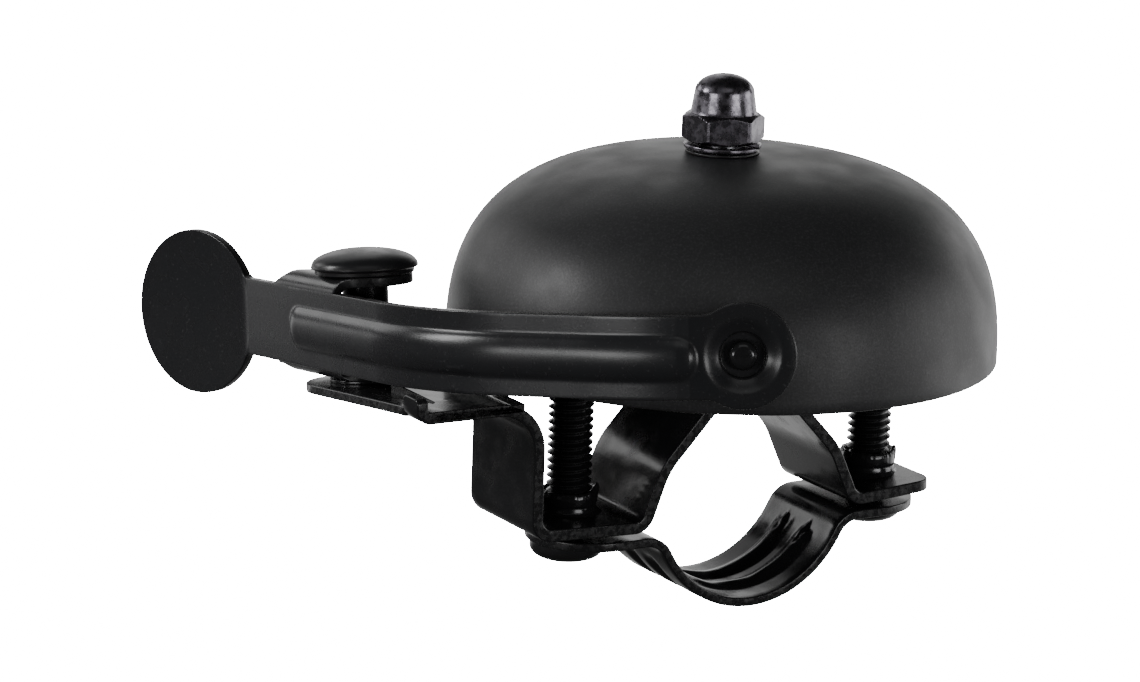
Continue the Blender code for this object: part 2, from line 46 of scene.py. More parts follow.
# Dome: its rim's height, its size, and how square its side and its crown are (2 is round).
RIM = 17.0
DOME_R, DOME_H, DOME_WALL = 30.0, 21.6, 1.6
DOME_SIDE, DOME_CROWN = 3.05, 2.65
DOME_TOP = RIM + DOME_H
# The post's place, and the thickness of the two washers between the dome and the nut.
POST_X, POST_Y = -0.62, 0.38
FLAT_WASHER, SPLIT_WASHER = 0.25, 0.8
NUT_BASE = DOME_TOP + FLAT_WASHER + SPLIT_WASHER + GAP * 3
# Bracket sheet: thickness, width, middle in Y, the crown under the dome, and the shelf with its stop lip.
SHEET, WIDTH, CLAMP_Y = 1.3, 13.4, -0.45
CROWN, SHELF = RIM - 3.7, RIM - 2.3
LIP_X, LIP_WIDTH = -40.6, 3.2
# Strap: middle in X, height of its ears, thickness and radius; the screws stand to either side of it.
STRAP_X, STRAP_Z, STRAP_SHEET, STRAP_R = 0.9, RIM - 18.75, 1.0, 12.4
SCREW_X = 19.5
SCREW_SEAT = STRAP_Z - STRAP_SHEET / 2 - GAP
# Lever: its pivot and lean; heights are above the pivot, along the leant pin.
PIVOT, LEAN = Vector((-34.0, 17.8, RIM)), math.radians(7.1)
ARM_X, ARM_SHEET, ARM_MID, ARM_HALF = -39.1, 1.1, 1.3, 4.3
EAR_TOP, EAR_LOW, PLATE_TOP, PLATE_SHEET = 7.3, -3.95, -4.4, 0.9
ORBIT_R, STRIKER_ANGLE, STRIKER_R = 34.6, math.radians(-118.7), 5.4
PADDLE_R, PADDLE_CENTRE, PADDLE_WAY = 9.3, 8.1, Vector((-0.304, 0.953)).normalized()
WHITE = 40.0  # strength of the background and the floor for rays from the camera
# Soft lights: angle round from the camera, rise, distance, width, height and power.
LIGHTS = {
    "left_box": (-42, 5, 0.7, 0.34, 0.14, 0.9),
    "right_box": (42, 5, 0.7, 0.34, 0.14, 1.0),
    "left_strip": (-84, 24, 0.7, 0.16, 0.22, 1.9),
    "right_strip": (98, 2, 0.7, 0.34, 0.4, 1.3),
    "left_back_box": (-124, 16, 0.7, 0.3, 0.24, 0.5),
    "right_back_box": (140, 10, 0.7, 0.3, 0.24, 0.45),
    "back_box": (-158, 38, 0.8, 0.5, 0.35, 0.35),
    "front_box": (5, 48, 0.8, 0.6, 0.4, 0.35),
}


# ---------------------------------------------------------------- materials

RANGE = ("From Min", "From Max", "To Min", "To Max")


class Shader:
    """A Principled material with helpers for noise-driven bump, colour and roughness."""

    def __init__(self, name, colour, roughness, metallic=0.0, coat=0.0, coat_roughness=0.1):
        self.mat = bpy.data.materials.new(name)
        self.mat.use_nodes = True
        self.nodes, self.links = self.mat.node_tree.nodes, self.mat.node_tree.links
        self.bsdf = self.nodes["Principled BSDF"]
        self.colour, self.base_roughness = colour, roughness
        self.bsdf.inputs["Base Color"].default_value = (*colour, 1)
        self.bsdf.inputs["Roughness"].default_value = roughness
        self.bsdf.inputs["Metallic"].default_value = metallic
        self.bsdf.inputs["Coat Weight"].default_value = coat
        self.bsdf.inputs["Coat Roughness"].default_value = coat_roughness
        self.place = self.nodes.new("ShaderNodeTexCoord").outputs["Object"]
        self.normal = None

    def noise(self, scale, detail=2.0, stretch=None):
        place = self.place
        if stretch:
            mapping = self.nodes.new("ShaderNodeMapping")
            mapping.inputs["Scale"].default_value = stretch
            self.links.new(place, mapping.inputs["Vector"])
            place = mapping.outputs["Vector"]
        node = self.nodes.new("ShaderNodeTexNoise")
        node.inputs["Scale"].default_value = scale
        node.inputs["Detail"].default_value = detail
        self.links.new(place, node.inputs["Vector"])
        return node.outputs["Fac"]

    def ramp(self, value, low, high, out_low, out_high):
        node = self.nodes.new("ShaderNodeMapRange")
        node.interpolation_type = "SMOOTHSTEP"
        for name, number in zip(RANGE, (low, high, out_low, out_high)):
            node.inputs[name].default_value = number
        self.links.new(value, node.inputs["Value"])
        return node.outputs["Result"]

    def bump(self, height, strength, depth_mm):
        node = self.nodes.new("ShaderNodeBump")
        node.inputs["Strength"].default_value = strength
        node.inputs["Distance"].default_value = depth_mm * 0.001
        self.links.new(height, node.inputs["Height"])
        if self.normal:
            self.links.new(self.normal, node.inputs["Normal"])
        self.normal = node.outputs["Normal"]
        self.links.new(self.normal, self.bsdf.inputs["Normal"])
        return self

    def vary_roughness(self, value, low, high, span):
        self.links.new(self.ramp(value, low, high, self.base_roughness - span, self.base_roughness + span),
                       self.bsdf.inputs["Roughness"])
        return self

    def vary_colour(self, value, low, high, other):
        mix = self.nodes.new("ShaderNodeMix")
        mix.data_type = "RGBA"
        mix.inputs["A"].default_value = (*self.colour, 1)
        mix.inputs["B"].default_value = (*other, 1)
        self.links.new(self.ramp(value, low, high, 0, 1), mix.inputs["Factor"])
        self.links.new(mix.outputs["Result"], self.bsdf.inputs["Base Color"])
        return self


def make_materials():
    """Every coat of the bell by a short name; noise scales are per metre, so 2500 gives 0.4 mm grain."""
    m = {}
    s = Shader("dome_powder_coat", (0.024, 0.024, 0.0255), 0.46)
    grain = s.noise(4200, 3)
    s.bump(grain, 0.35, 0.03).vary_colour(grain, 0.45, 0.75, (0.042, 0.042, 0.0445))
    m["dome"] = s.vary_roughness(s.noise(160, 2), 0.3, 0.7, 0.05).mat
    s = Shader("dome_inside", (0.014, 0.014, 0.015), 0.6)
    m["dome_inside"] = s.bump(s.noise(2500, 3), 0.4, 0.04).mat
    s = Shader("lever_coat", (0.021, 0.021, 0.0232), 0.27)
    s.bump(s.noise(3600, 2), 0.22, 0.012)
    s.vary_colour(s.noise(2600, 2), 0.62, 0.75, (0.045, 0.045, 0.048))
    m["lever"] = s.vary_roughness(s.noise(260, 3), 0.3, 0.75, 0.025).mat
    s = Shader("lever_edge", (0.02, 0.02, 0.021), 0.36)
    m["lever_edge"] = s.bump(s.noise(2300, 3), 0.5, 0.04).vary_roughness(s.noise(900, 3), 0.4, 0.6, 0.12).mat
    s = Shader("bracket_coat", (0.014, 0.014, 0.0152), 0.21)
    s.bump(s.noise(600, 2), 0.05, 0.04).bump(s.noise(2600, 2, (1.0, 1.0, 0.12)), 0.14, 0.02)
    m["bracket"] = s.vary_roughness(s.noise(330, 4), 0.35, 0.7, 0.08).mat
    s = Shader("bracket_edge", (0.014, 0.014, 0.015), 0.3)
    grit = s.noise(2100, 4)
    s.bump(grit, 0.6, 0.06).vary_colour(grit, 0.58, 0.72, (0.05, 0.05, 0.052))
    m["bracket_edge"] = s.vary_roughness(s.noise(1400, 3), 0.4, 0.6, 0.12).mat
    s = Shader("screw_black", (0.03, 0.03, 0.032), 0.22, metallic=0.5, coat=0.3)
    m["screw"] = s.bump(s.noise(1500, 3), 0.2, 0.03).vary_roughness(s.noise(700, 3), 0.4, 0.7, 0.08).mat
    s = Shader("black_nickel", (0.16, 0.15, 0.17), 0.3, metallic=1.0)
    speck = s.noise(2800, 4)
    s.bump(speck, 0.3, 0.03).vary_colour(speck, 0.5, 0.75, (0.08, 0.075, 0.088))
    m["nickel"] = s.vary_roughness(s.noise(900, 3), 0.4, 0.65, 0.08).mat
    s = Shader("pivot_cap", (0.018, 0.018, 0.0195), 0.34)
    m["cap"] = s.bump(s.noise(2600, 3), 0.25, 0.02).vary_roughness(s.noise(500, 2), 0.3, 0.7, 0.05).mat
    s = Shader("spring_wire", (0.09, 0.09, 0.095), 0.25, metallic=1.0)
    m["wire"] = s.bump(s.noise(1500, 2, (1, 1, 0.2)), 0.15, 0.01).mat
    s = Shader("zinc_plate", (0.42, 0.42, 0.44), 0.3, metallic=1.0)
    m["zinc"] = s.bump(s.noise(900, 3, (0.2, 0.2, 1)), 0.2, 0.02).mat
    s = Shader("fibre", (0.018, 0.018, 0.018), 0.85)
    m["fibre"] = s.bump(s.noise(2500, 3), 0.5, 0.05).mat
    return m


MATS = make_materials()


# ---------------------------------------------------------------- shape helpers

def add_piece(name, bm, mats, body, nodes=(), leant=False, sharp=38, even=True):
    """Makes a mesh from millimetres, lets it ride on a body and stand for the CAD nodes."""
    bmesh.ops.recalc_face_normals(bm, faces=bm.faces)
    move = Matrix.Identity(4)
    if leant:
        move = Matrix.Translation(PIVOT) @ Matrix.Rotation(-LEAN, 4, "X")
    bm.transform(Matrix.Scale(0.001, 4) @ move)
    mesh = bpy.data.meshes.new(name)
    bm.to_mesh(mesh)
    bm.free()
    mesh.shade_smooth()
    mesh.set_sharp_from_angle(angle=math.radians(sharp))
    for mat in mats:
        mesh.materials.append(MATS[mat])
    obj = bpy.data.objects.new(name, mesh)
    bpy.context.collection.objects.link(obj)
    if even:
        normals = obj.modifiers.new("even_normals", "WEIGHTED_NORMAL")
        normals.keep_sharp = True
    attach(obj, body)
    if nodes:
        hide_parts(*nodes)
    return obj


def corner_arc(corner, inward, outward, reach, radius, step):
    """Points of the arc that touches both sides of a corner, at the given reach along each."""
    half = inward.angle(outward) / 2
    centre = corner + (inward + outward).normalized() * radius / math.sin(half)
    first = corner + inward * reach - centre
    turn = first.angle_signed(corner + outward * reach - centre)
    count = max(2, math.ceil(abs(turn) / step))
    return [centre + Matrix.Rotation(-turn * i / count, 2) @ first for i in range(count + 1)]


def rounded_path(corners, radii, step=math.radians(5)):
    """Straight runs between the corners with each inner corner made an arc."""
    points = [corners[0]]
    for before, corner, after, radius in zip(corners, corners[1:], corners[2:], radii):
        inward, outward = (before - corner).normalized(), (after - corner).normalized()
        reach = radius / math.tan(inward.angle(outward) / 2)
        points += corner_arc(corner, inward, outward, reach, radius, step)
    points.append(corners[-1])
    return points[:1] + [b for a, b in zip(points, points[1:]) if (b - a).length > 0.02]


def soft_loop(points, radius):
    """A closed outline with its corners rounded; radius is one number or one per corner."""
    points = [Vector(p) for p in points]
    radii = radius if isinstance(radius, (list, tuple)) else [radius] * len(points)
    loop = []
    for i, corner in enumerate(points):
        before, after = points[i - 1] - corner, points[(i + 1) % len(points)] - corner
        inward, outward = before.normalized(), after.normalized()
        half = inward.angle(outward) / 2
        if half > math.radians(88.5) or radii[i] < 1e-6:  # nearly straight, or meant to be sharp
            loop.append(corner.copy())
            continue
        # Under half of each side, so that two arcs never meet on one.
        reach = min(radii[i] / math.tan(half), 0.48 * before.length, 0.48 * after.length)
        loop += corner_arc(corner, inward, outward, reach, reach * math.tan(half), math.radians(22))
    return loop


def arc(centre, radius, start, end, count):
    """Points of an arc, angles in degrees."""
    turns = [math.radians(start + (end - start) * i / count) for i in range(count + 1)]
    return [Vector((centre[0] + radius * math.cos(t), centre[1] + radius * math.sin(t))) for t in turns]


def lathe(profile, steps=96, centre=(0.0, 0.0), shift=None):
    """A solid of revolution; the profile is a closed loop of (radius, height).

    shift may move a point: it takes its radius, height and angle and gives its radius and height.
    """
    bm = bmesh.new()
    rings = []
    for radius, height in profile:
        if radius < 1e-4:
            rings.append([bm.verts.new((centre[0], centre[1], height))])
            continue
        ring = []
        for i in range(steps):
            t = 2 * math.pi * i / steps
            r, z = shift(radius, height, t) if shift else (radius, height)
            ring.append(bm.verts.new((centre[0] + r * math.cos(t), centre[1] + r * math.sin(t), z)))
        rings.append(ring)
    for low, high in zip(rings, rings[1:] + rings[:1]):
        if len(low) == 1 and len(high) == 1:
            continue
        for i in range(steps):
            j = (i + 1) % steps
            loop = [low[i % len(low)], low[j % len(low)], high[j % len(high)], high[i % len(high)]]
            corners = list(dict.fromkeys(loop))
            if len(corners) > 2:
                bm.faces.new(corners)
    return bm


def soft_lathe(points, radius=0.12, steps=96, centre=(0.0, 0.0)):
    """A lathe of a profile with its corners rounded, except those on the axis."""
    radii = [0 if p[0] < 1e-4 else radius for p in points]
    return lathe(soft_loop(points, radii), steps, centre)


class Path:
    """A plane path that gives the point and the right-hand normal at a distance along it."""

    def __init__(self, points):
        self.points, self.at = points, [0.0]
        for a, b in zip(points, points[1:]):
            self.at.append(self.at[-1] + (b - a).length)
        self.normals = []
        for i, point in enumerate(points):
            way_in = (point - points[i - 1]).normalized() if i else (points[1] - point).normalized()
            way_out = (points[i + 1] - point).normalized() if i < len(points) - 1 else way_in
            mean = (way_in + way_out).normalized()
            self.normals.append(Vector((mean.y, -mean.x)) / max(mean.dot(way_in), 0.5))
        self.length = self.at[-1]

    def place(self, s):
        """The point at distance s and the normal there."""
        i = 0
        while i < len(self.at) - 2 and s > self.at[i + 1]:
            i += 1
        t = (s - self.at[i]) / (self.at[i + 1] - self.at[i])
        normal = self.normals[i].lerp(self.normals[i + 1], min(max(t, 0), 1))
        return self.points[i].lerp(self.points[i + 1], t), normal

    def distance_of(self, test):
        """Distance along the path of its first place that passes the test."""
        return next(s for s in span(0.0, self.length, 0.05) if test(self.place(s)[0]))


def flat_blank(outline, holes, thickness, bevel):
    """A flat sheet with softened edges: outline and holes are loops of (s, h).

    Its flats take the first material of the piece, and its cut edge the second.
    """
    bm = bmesh.new()
    for loop in [outline] + holes:
        verts = [bm.verts.new((p[0], p[1], 0)) for p in loop]
        for i, vert in enumerate(verts):
            bm.edges.new((vert, verts[(i + 1) % len(verts)]))
    bmesh.ops.triangle_fill(bm, edges=list(bm.edges), use_beauty=True)
    inner_edges = [e for e in bm.edges if len(e.link_faces) == 2]
    bmesh.ops.dissolve_limit(bm, angle_limit=0.01, verts=list(bm.verts), edges=inner_edges)
    grown = bmesh.ops.extrude_face_region(bm, geom=list(bm.faces))
    top = {v for v in grown["geom"] if isinstance(v, bmesh.types.BMVert)}
    for vert in bm.verts:
        vert.co.z = thickness / 2 if vert in top else -thickness / 2
    bmesh.ops.recalc_face_normals(bm, faces=bm.faces)
    for face in bm.faces:
        face.material_index = 1 if abs(face.normal.z) < 0.3 else 0
    rims = [e for e in bm.edges if len(e.link_faces) == 2
            and {f.material_index for f in e.link_faces} == {0, 1}]
    bmesh.ops.bevel(bm, geom=rims, offset=bevel, segments=3, profile=0.5, affect="EDGES", clamp_overlap=True,
                    material=0)
    return bm


def bend(bm, path, to_space, s_cuts, h_cuts, emboss=None, skip_s=0.03):
    """Cuts a flat blank across, embosses it and wraps it along the path.

    s runs along the path and h across it; emboss gives the rise at a place, and to_space takes a point of the
    path's plane and h to the piece's space.
    """
    low_s, high_s = min(v.co.x for v in bm.verts), max(v.co.x for v in bm.verts)
    for axis, cuts in ((0, sorted(set(s_cuts) | set(path.at))), (1, h_cuts)):
        last = -1e9
        for cut in cuts:
            if cut - last < skip_s or (axis == 0 and not low_s + 0.01 < cut < high_s - 0.01):
                continue
            last = cut
            way = Vector((1, 0, 0)) if axis == 0 else Vector((0, 1, 0))
            geom = list(bm.verts) + list(bm.edges) + list(bm.faces)
            bmesh.ops.bisect_plane(bm, geom=geom, dist=1e-5, plane_co=way * cut, plane_no=way)
    for vert in bm.verts:
        s, h, z = vert.co
        if emboss:
            z += emboss(s, h)
        point, normal = path.place(s)
        vert.co = to_space(point + normal * z, h)
    return bm


def smooth(x, start, end):
    """0 before start, 1 after end, and an S curve between."""
    t = min(max((x - start) / (end - start), 0.0), 1.0)
    return t * t * (3 - 2 * t)


def span(low, high, step):
    """Even steps from low to high, both included, each close to the given step."""
    count = max(1, round((high - low) / step))
    return [low + (high - low) * i / count for i in range(count + 1)]


# ---------------------------------------------------------------- dome group

def dome_curve(inset, count=60):
    """(radius, height) from the rim to the crown, along a squared-off quarter ellipse."""
    turns = [math.pi / 2 * i / count for i in range(count + 1)]
    return [((DOME_R - inset) * abs(math.cos(t)) ** (2 / DOME_SIDE),
             RIM + (DOME_H - inset) * math.sin(t) ** (2 / DOME_CROWN)) for t in turns]


def dome_radius(z):
    """The dome's outer radius at a height."""
    height = min(max((z - RIM) / DOME_H, 0), 1) ** (DOME_CROWN / 2)
    return DOME_R * math.sqrt(max(1 - height ** 2, 0)) ** (2 / DOME_SIDE)


def make_dome():
    """The shell, with a rounded rim, a hole for the post and its own coat inside."""
    hole, under, rounding = 3.3, DOME_TOP - DOME_WALL, 0.35
    outer = [p for p in dome_curve(0) if p[0] > hole + 0.5 and p[1] > RIM + rounding]
    inner = [p for p in dome_curve(DOME_WALL) if p[0] > hole + 0.5 and p[1] > RIM + rounding]
    lip = [(DOME_R + DOME_WALL / 2 * (math.cos(t) - 1), RIM + rounding * (1 - math.sin(t)))
           for t in (math.pi * i / 8 for i in range(8, -1, -1))]
    bm = lathe(lip + outer + [(hole, DOME_TOP), (hole, under)] + inner[::-1], 256)
    for face in bm.faces:
        mid = face.calc_center_median()
        inside = mid.z < under - 0.02 and math.hypot(mid.x, mid.y) < dome_radius(mid.z) - DOME_WALL * 0.7
        face.material_index = 1 if inside else 0
    add_piece("dome_shell", bm, ["dome", "dome_inside"], "bracket", ["bell_dome"], even=False)


def make_nut():
    """Acorn nut: a hexagon chamfered by a cone at both ends, under a domed cap."""
    across, hex_h, height, turn = 8.0, 3.1, 7.3, math.radians(-23)
    cap_r, dome_r, cap_foot, cap_side = 3.58, 3.24, hex_h + 0.12, 2.1
    cone_r, cone_slope, soft = across / 2 - 0.2, math.tan(math.radians(33)), 0.06

    def hexagon(r, z, t):
        if r < across / 2:
            return r, z
        local = (t - turn) % (math.pi / 3) - math.pi / 6
        side = min(across / 2 / math.cos(local), across / math.sqrt(3) - 0.1)
        cone = cone_r + min(z, hex_h - z) / cone_slope
        blend = max(soft - abs(side - cone), 0) / soft
        return min(side, cone) - blend * blend * soft / 4, z

    levels = [0.0] + [0.04 + 0.6 * (i / 10) ** 1.3 for i in range(11)]
    levels += [hex_h - z for z in levels[::-1]]
    profile = [(3.0, 0.0)] + [(across / 2, z) for z in levels]
    profile += [(3.75, hex_h), (cap_r + 0.04, hex_h + 0.02), (cap_r, cap_foot)]
    profile += [(cap_r + (dome_r - cap_r) * i / 8, cap_foot + cap_side * i / 8) for i in range(1, 9)]
    crown = height - cap_foot - cap_side
    profile += [(dome_r * math.cos(t) ** 0.9, cap_foot + cap_side + crown * math.sin(t) ** 1.05)
                for t in (math.pi / 2 * i / 30 for i in range(1, 30))]
    profile += [(0.0, height), (0.0, 5.0), (2.6, 4.9), (2.6, 0.3)]
    bm = lathe(profile, 240, shift=hexagon)
    bmesh.ops.translate(bm, verts=bm.verts, vec=(POST_X, POST_Y, NUT_BASE))
    add_piece("cap_nut", bm, ["nickel"], "bracket", ["acorn_nut"], sharp=24)


def make_washers():
    """A flat washer on the dome, and on it a split one that winds up by a little over its turn."""
    foot = DOME_TOP + GAP
    ring = soft_lathe([(2.7, foot), (4.0, foot), (4.0, foot + FLAT_WASHER), (2.7, foot + FLAT_WASHER)], 0.08,
                      centre=(POST_X, POST_Y))
    # The flat washer is a real part, but its dark matte pivot-cap coat is partly painted shade: it stands for
    # the shadow band under the split washer.
    add_piece("flat_washer", ring, ["cap"], "bracket", ["plain_washer"])
    base, steps, wind = foot + FLAT_WASHER + GAP, 140, 0.24
    section = soft_loop([(2.7, 0.0), (4.18, 0.03), (4.18, 0.55), (2.7, 0.58)], 0.16)
    slit, slit_at = math.radians(11), math.radians(-57)
    bm = bmesh.new()
    rows = []
    for i in range(steps + 1):
        t = slit_at + slit / 2 + (2 * math.pi - slit) * i / steps
        level = base + wind * (1 - i / steps)
        rows.append([bm.verts.new((POST_X + r * math.cos(t), POST_Y + r * math.sin(t), level + z))
                     for r, z in section])
    for one, two in zip(rows, rows[1:]):
        for i in range(len(one)):
            j = (i + 1) % len(one)
            bm.faces.new((one[i], one[j], two[j], two[i]))
    bm.faces.new(rows[0])
    bm.faces.new(rows[-1][::-1])
    add_piece("split_washer", bm, ["nickel"], "bracket", ["spring_washer"])


def make_post():
    """The fibre cushion under the dome, and the shouldered post from the bracket up into the nut."""
    pad_r, pad_h, under = 5.5, 0.8, DOME_TOP - DOME_WALL - GAP
    pad = soft_lathe([(2.7, under - pad_h), (pad_r, under - pad_h), (pad_r, under), (2.7, under)], 0.15,
                     centre=(POST_X, POST_Y))
    add_piece("cushion_ring", pad, ["fibre"], "bracket", ["cushion_washer"])
    shoulder, seat, tip = under - pad_h - GAP, CROWN + SHEET / 2 + GAP, DOME_TOP + GAP + 5.1
    post = soft_lathe([(0, seat - 1.2), (2.3, seat - 1.2), (2.3, seat), (4.0, seat), (4.0, shoulder - 1.5),
                       (pad_r, shoulder - 1.5), (pad_r, shoulder), (2.4, shoulder), (2.4, tip), (0, tip)],
                      0.15, centre=(POST_X, POST_Y))
    add_piece("post", post, ["zinc"], "bracket", ["centre_post"])


# ---------------------------------------------------------------- bracket and clamp

def bracket_corners():
    """Corners of the bracket's middle line, from its right end over the crown to the lip, and their radii."""
    knee_z, foot_z, foot_x, knee_x, wall_x = RIM - 10.8, RIM - 17.0, 13.9, 11.0, -26.5
    corners = [(24.6, RIM - 16.8 + 0.5), (foot_x, foot_z), (knee_x, knee_z), (4.2, CROWN), (-4.2, CROWN),
               (-knee_x + 0.2, knee_z), (-foot_x + 0.8, foot_z), (wall_x, foot_z + 0.5), (wall_x, SHELF),
               (LIP_X, SHELF), (LIP_X, SHELF + 2.1)]
    radii = [2.0, 8.0, 3.0, 3.0, 8.0, 1.8, 1.9, 4.9, 1.1]
    return [Vector(c) for c in corners], radii


def clamp_holes(path, radius):
    """Loops of the two screws' holes, in the blank's own (distance, width) plane."""
    flange_below = 3  # the screws pass only where the sheet lies lower than this
    low_parts = [s for s in span(0, path.length, path.length / 2000)[:-1]
                 if path.place(s)[0].y < flange_below]
    holes = []
    for x in (STRAP_X - SCREW_X, STRAP_X + SCREW_X):
        middle = min(low_parts, key=lambda s: abs(path.place(s)[0].x - x))
        holes.append(arc((middle, 0), radius, 0, 360 * 47 / 48, 47))
    return holes


def make_bracket():
    """The long sheet bent over the bar, with the wall, the shelf and the lip at its left."""
    path = Path(rounded_path(*bracket_corners()))
    end, step_s = path.length, path.length - 5.0
    low, high = CLAMP_Y - WIDTH / 2, CLAMP_Y + WIDTH / 2
    outline = soft_loop([(0, high), (0, low), (end, low), (end, low + LIP_WIDTH), (step_s, low + LIP_WIDTH),
                         (step_s, high)], [2.0, 2.0, 0.6, 0.6, 0.8, 0.3])
    bm = flat_blank(outline, clamp_holes(path, 2.9), SHEET, 0.14)
    bend(bm, path, lambda p, h: Vector((p.x, h, p.y)), [], span(low + 1.5, high - 1.5, 2.6))
    add_piece("bracket_sheet", bm, ["bracket", "bracket_edge"], "bracket", ["bracket"],
              sharp=50)
    make_plate(low)
    make_collar("collar_left", STRAP_X - SCREW_X, RIM - 16.9 + SHEET / 2, 3.7)
    make_collar("collar_right", STRAP_X + SCREW_X, RIM - 16.6 + SHEET / 2, 9.1)


def make_plate(front):
    """The bracket's flat under the lever: level beside the wall, then bent down to the pivot's plane."""
    outer, inner, relief, middle = -40.8, -28.4, -39.2, PLATE_TOP - PLATE_SHEET / 2
    pin_y, pin_z = PIVOT.y + middle * math.sin(LEAN), RIM + middle * math.cos(LEAN)
    fold_y = pin_y - (SHELF - pin_z) / math.tan(LEAN)
    far = Vector((pin_y, pin_z)) + Vector((math.cos(LEAN), -math.sin(LEAN))) * 9
    path = Path(rounded_path([Vector((front, SHELF)), Vector((fold_y, SHELF)), far], [9.0], math.radians(1.5)))
    pin_s, radius = path.distance_of(lambda p: p.x >= pin_y), (inner - outer) / 2
    outline = soft_loop([(LIP_WIDTH + 0.3, outer), (LIP_WIDTH + 0.3, relief), (0.0, relief), (0.0, inner),
                         (pin_s, inner), (pin_s, outer)], [0.5, 0.3, 0.2, 0.3, 0, 0])[:-2]
    outline += arc((pin_s, (inner + outer) / 2), radius, 90, -90, 40)
    bm = flat_blank(outline, [arc((pin_s, PIVOT.x), 1.7, 0, 350, 35)], PLATE_SHEET + 0.1, 0.14)
    bend(bm, path, lambda p, h: Vector((h, p.x, p.y)), [], [])
    add_piece("lever_plate", bm, ["bracket", "bracket_edge"], "bracket", sharp=50)


def make_collar(name, x, base, seed):
    """Extruded thread collar with a torn top and one large burr."""
    torn_from, burr_at = base + 1.9, math.radians(318)

    def tear(r, z, t):
        if z < torn_from:
            return r, z
        rough = noise.noise(Vector((math.cos(t) * 2.0, math.sin(t) * 2.0, seed)))
        fine = noise.noise(Vector((math.cos(t) * 9.0, math.sin(t) * 9.0, seed + 5)))
        burr = math.exp(-((t - burr_at) / 0.5) ** 2)
        return r + (0.05 + 0.25 * burr) * fine, z + 0.15 * rough + (0.12 + 0.4 * burr) * fine + 0.35 * burr

    points = [(2.5, base - 1.2), (3.9, base - 0.2), (3.6, base + 0.02), (3.12, base + 0.35), (3.0, base + 0.9),
              (3.12, base + 1.2), (3.14, base + 2.0), (3.05, base + 2.35), (2.9, base + 2.55),
              (2.72, base + 2.5), (2.6, base + 2.1), (2.5, base + 1.0)]
    bm = lathe(soft_loop(points, 0.15), 120, (x, 0), tear)
    add_piece(name, bm, ["screw"], "bracket")


def strap_path():
    """Flat ears, each joined to the half-round by an arc that touches both."""
    bore_z, bend_r, half = RIM - 14.6, 3.0, 24.0
    drop = bore_z - STRAP_Z
    near = math.sqrt((STRAP_R + bend_r) ** 2 - (drop + bend_r) ** 2)
    joint = math.degrees(math.atan2(drop + bend_r, near))
    points = [Vector((-half, STRAP_Z))] + arc((-near, STRAP_Z - bend_r), bend_r, 90, joint, 14)
    points += arc((0, bore_z), STRAP_R, 180 + joint, 360 - joint, 60)[1:]
    points += arc((near, STRAP_Z - bend_r), bend_r, 180 - joint, 90, 14)[1:] + [Vector((half, STRAP_Z))]
    return Path([Vector((STRAP_X + p.x, p.y)) for p in points])


def make_strap():
    """The strap, with round ends and two worn ribs pressed in across its half-round."""
    path = strap_path()
    half, end, middle = WIDTH / 2, path.length, path.length / 2
    low, high = CLAMP_Y - half, CLAMP_Y + half
    outline = arc((half, CLAMP_Y), half, 90, 270, 40) + arc((end - half, CLAMP_Y), half, -90, 90, 40)
    rib_apart, rib_half, rib_depth = 2.2, 1.75, 0.62

    def emboss(s, h):
        ragged = noise.noise(Vector((s * 0.5, h * 1.4, 2.0))) if s > middle else 0.0
        fade = 1 - smooth(abs(s - middle) + 2.2 * ragged, 10.2, 12.9)
        worn = 0.12 * noise.noise(Vector((s * 0.35, h * 0.8, 7.0)))
        rise = sum(1 - smooth(abs(h - CLAMP_Y - at), 0.0, rib_half) for at in (-rib_apart, rib_apart))
        return (worn - rib_depth) * rise * fade

    bm = flat_blank(outline, clamp_holes(path, 2.8), STRAP_SHEET, 0.14)
    s_cuts, h_cuts = span(6, end - 6, 0.8), span(low + 0.9, high - 0.9, 0.22)
    bend(bm, path, lambda p, h: Vector((p.x, h, p.y)), s_cuts, h_cuts, emboss)
    add_piece("strap_sheet", bm, ["bracket", "bracket_edge"], "clamp", ["lower_strap"],
              sharp=50)


def make_screw(name, x, node):
    """Pan-head screw with a helical thread drawn along its own helix; it runs out at both ends."""
    length, pitch, crest, root, per_turn = 20.0, 0.84, 2.45, 1.98, 48
    head_r, side_h, crown_h = 4.02, 0.75, 1.45
    head = [(0, 0), (3.85, 0), (4.0, -0.15), (head_r, -side_h)]
    for i in range(1, 11):
        t = math.pi / 2 * i / 11
        head.append((head_r * math.cos(t) ** 0.62, -side_h - crown_h * math.sin(t)))
    head.append((0, -side_h - crown_h))
    bm = lathe([(r, SCREW_SEAT + z) for r, z in soft_loop(head, [0, 0.1, 0.1] + [0] * (len(head) - 3))],
               72, (x, 0))
    cut_recess(add_piece(name + "_head", bm, ["screw"], "clamp", even=False), x)
    bm = bmesh.new()
    shape = [(0.0, root), (0.08, root), (0.44, crest), (0.56, crest), (0.92, root), (1.0, root)]
    turns = (length - 1.0) / pitch
    rows = []
    for i in range(int(turns * per_turn) + 1):
        t = 2 * math.pi * i / per_turn
        fade = min(i / per_turn * 2, (turns * per_turn - i) / per_turn * 1.5, 1.0)
        row = [(root + (r - root) * fade, SCREW_SEAT - 0.5 + pitch * (i / per_turn + v)) for v, r in shape]
        rows.append([bm.verts.new((x + r * math.cos(t), r * math.sin(t), z)) for r, z in row])
    for one, two in zip(rows, rows[1:]):
        for i in range(len(shape) - 1):
            bm.faces.new((one[i], two[i], two[i + 1], one[i + 1]))
    foot, tip = SCREW_SEAT - 0.3, SCREW_SEAT + length
    core = [(0, foot), (root - 0.02, foot), (root - 0.02, tip - 0.4), (root - 0.4, tip), (0, tip)]
    rod = lathe(core, 48, (x, 0))
    mesh = bpy.data.meshes.new("core")
    rod.to_mesh(mesh)
    rod.free()
    bm.from_mesh(mesh)
    bpy.data.meshes.remove(mesh)
    add_piece(name + "_thread", bm, ["screw"], "clamp", [node], sharp=25, even=False)


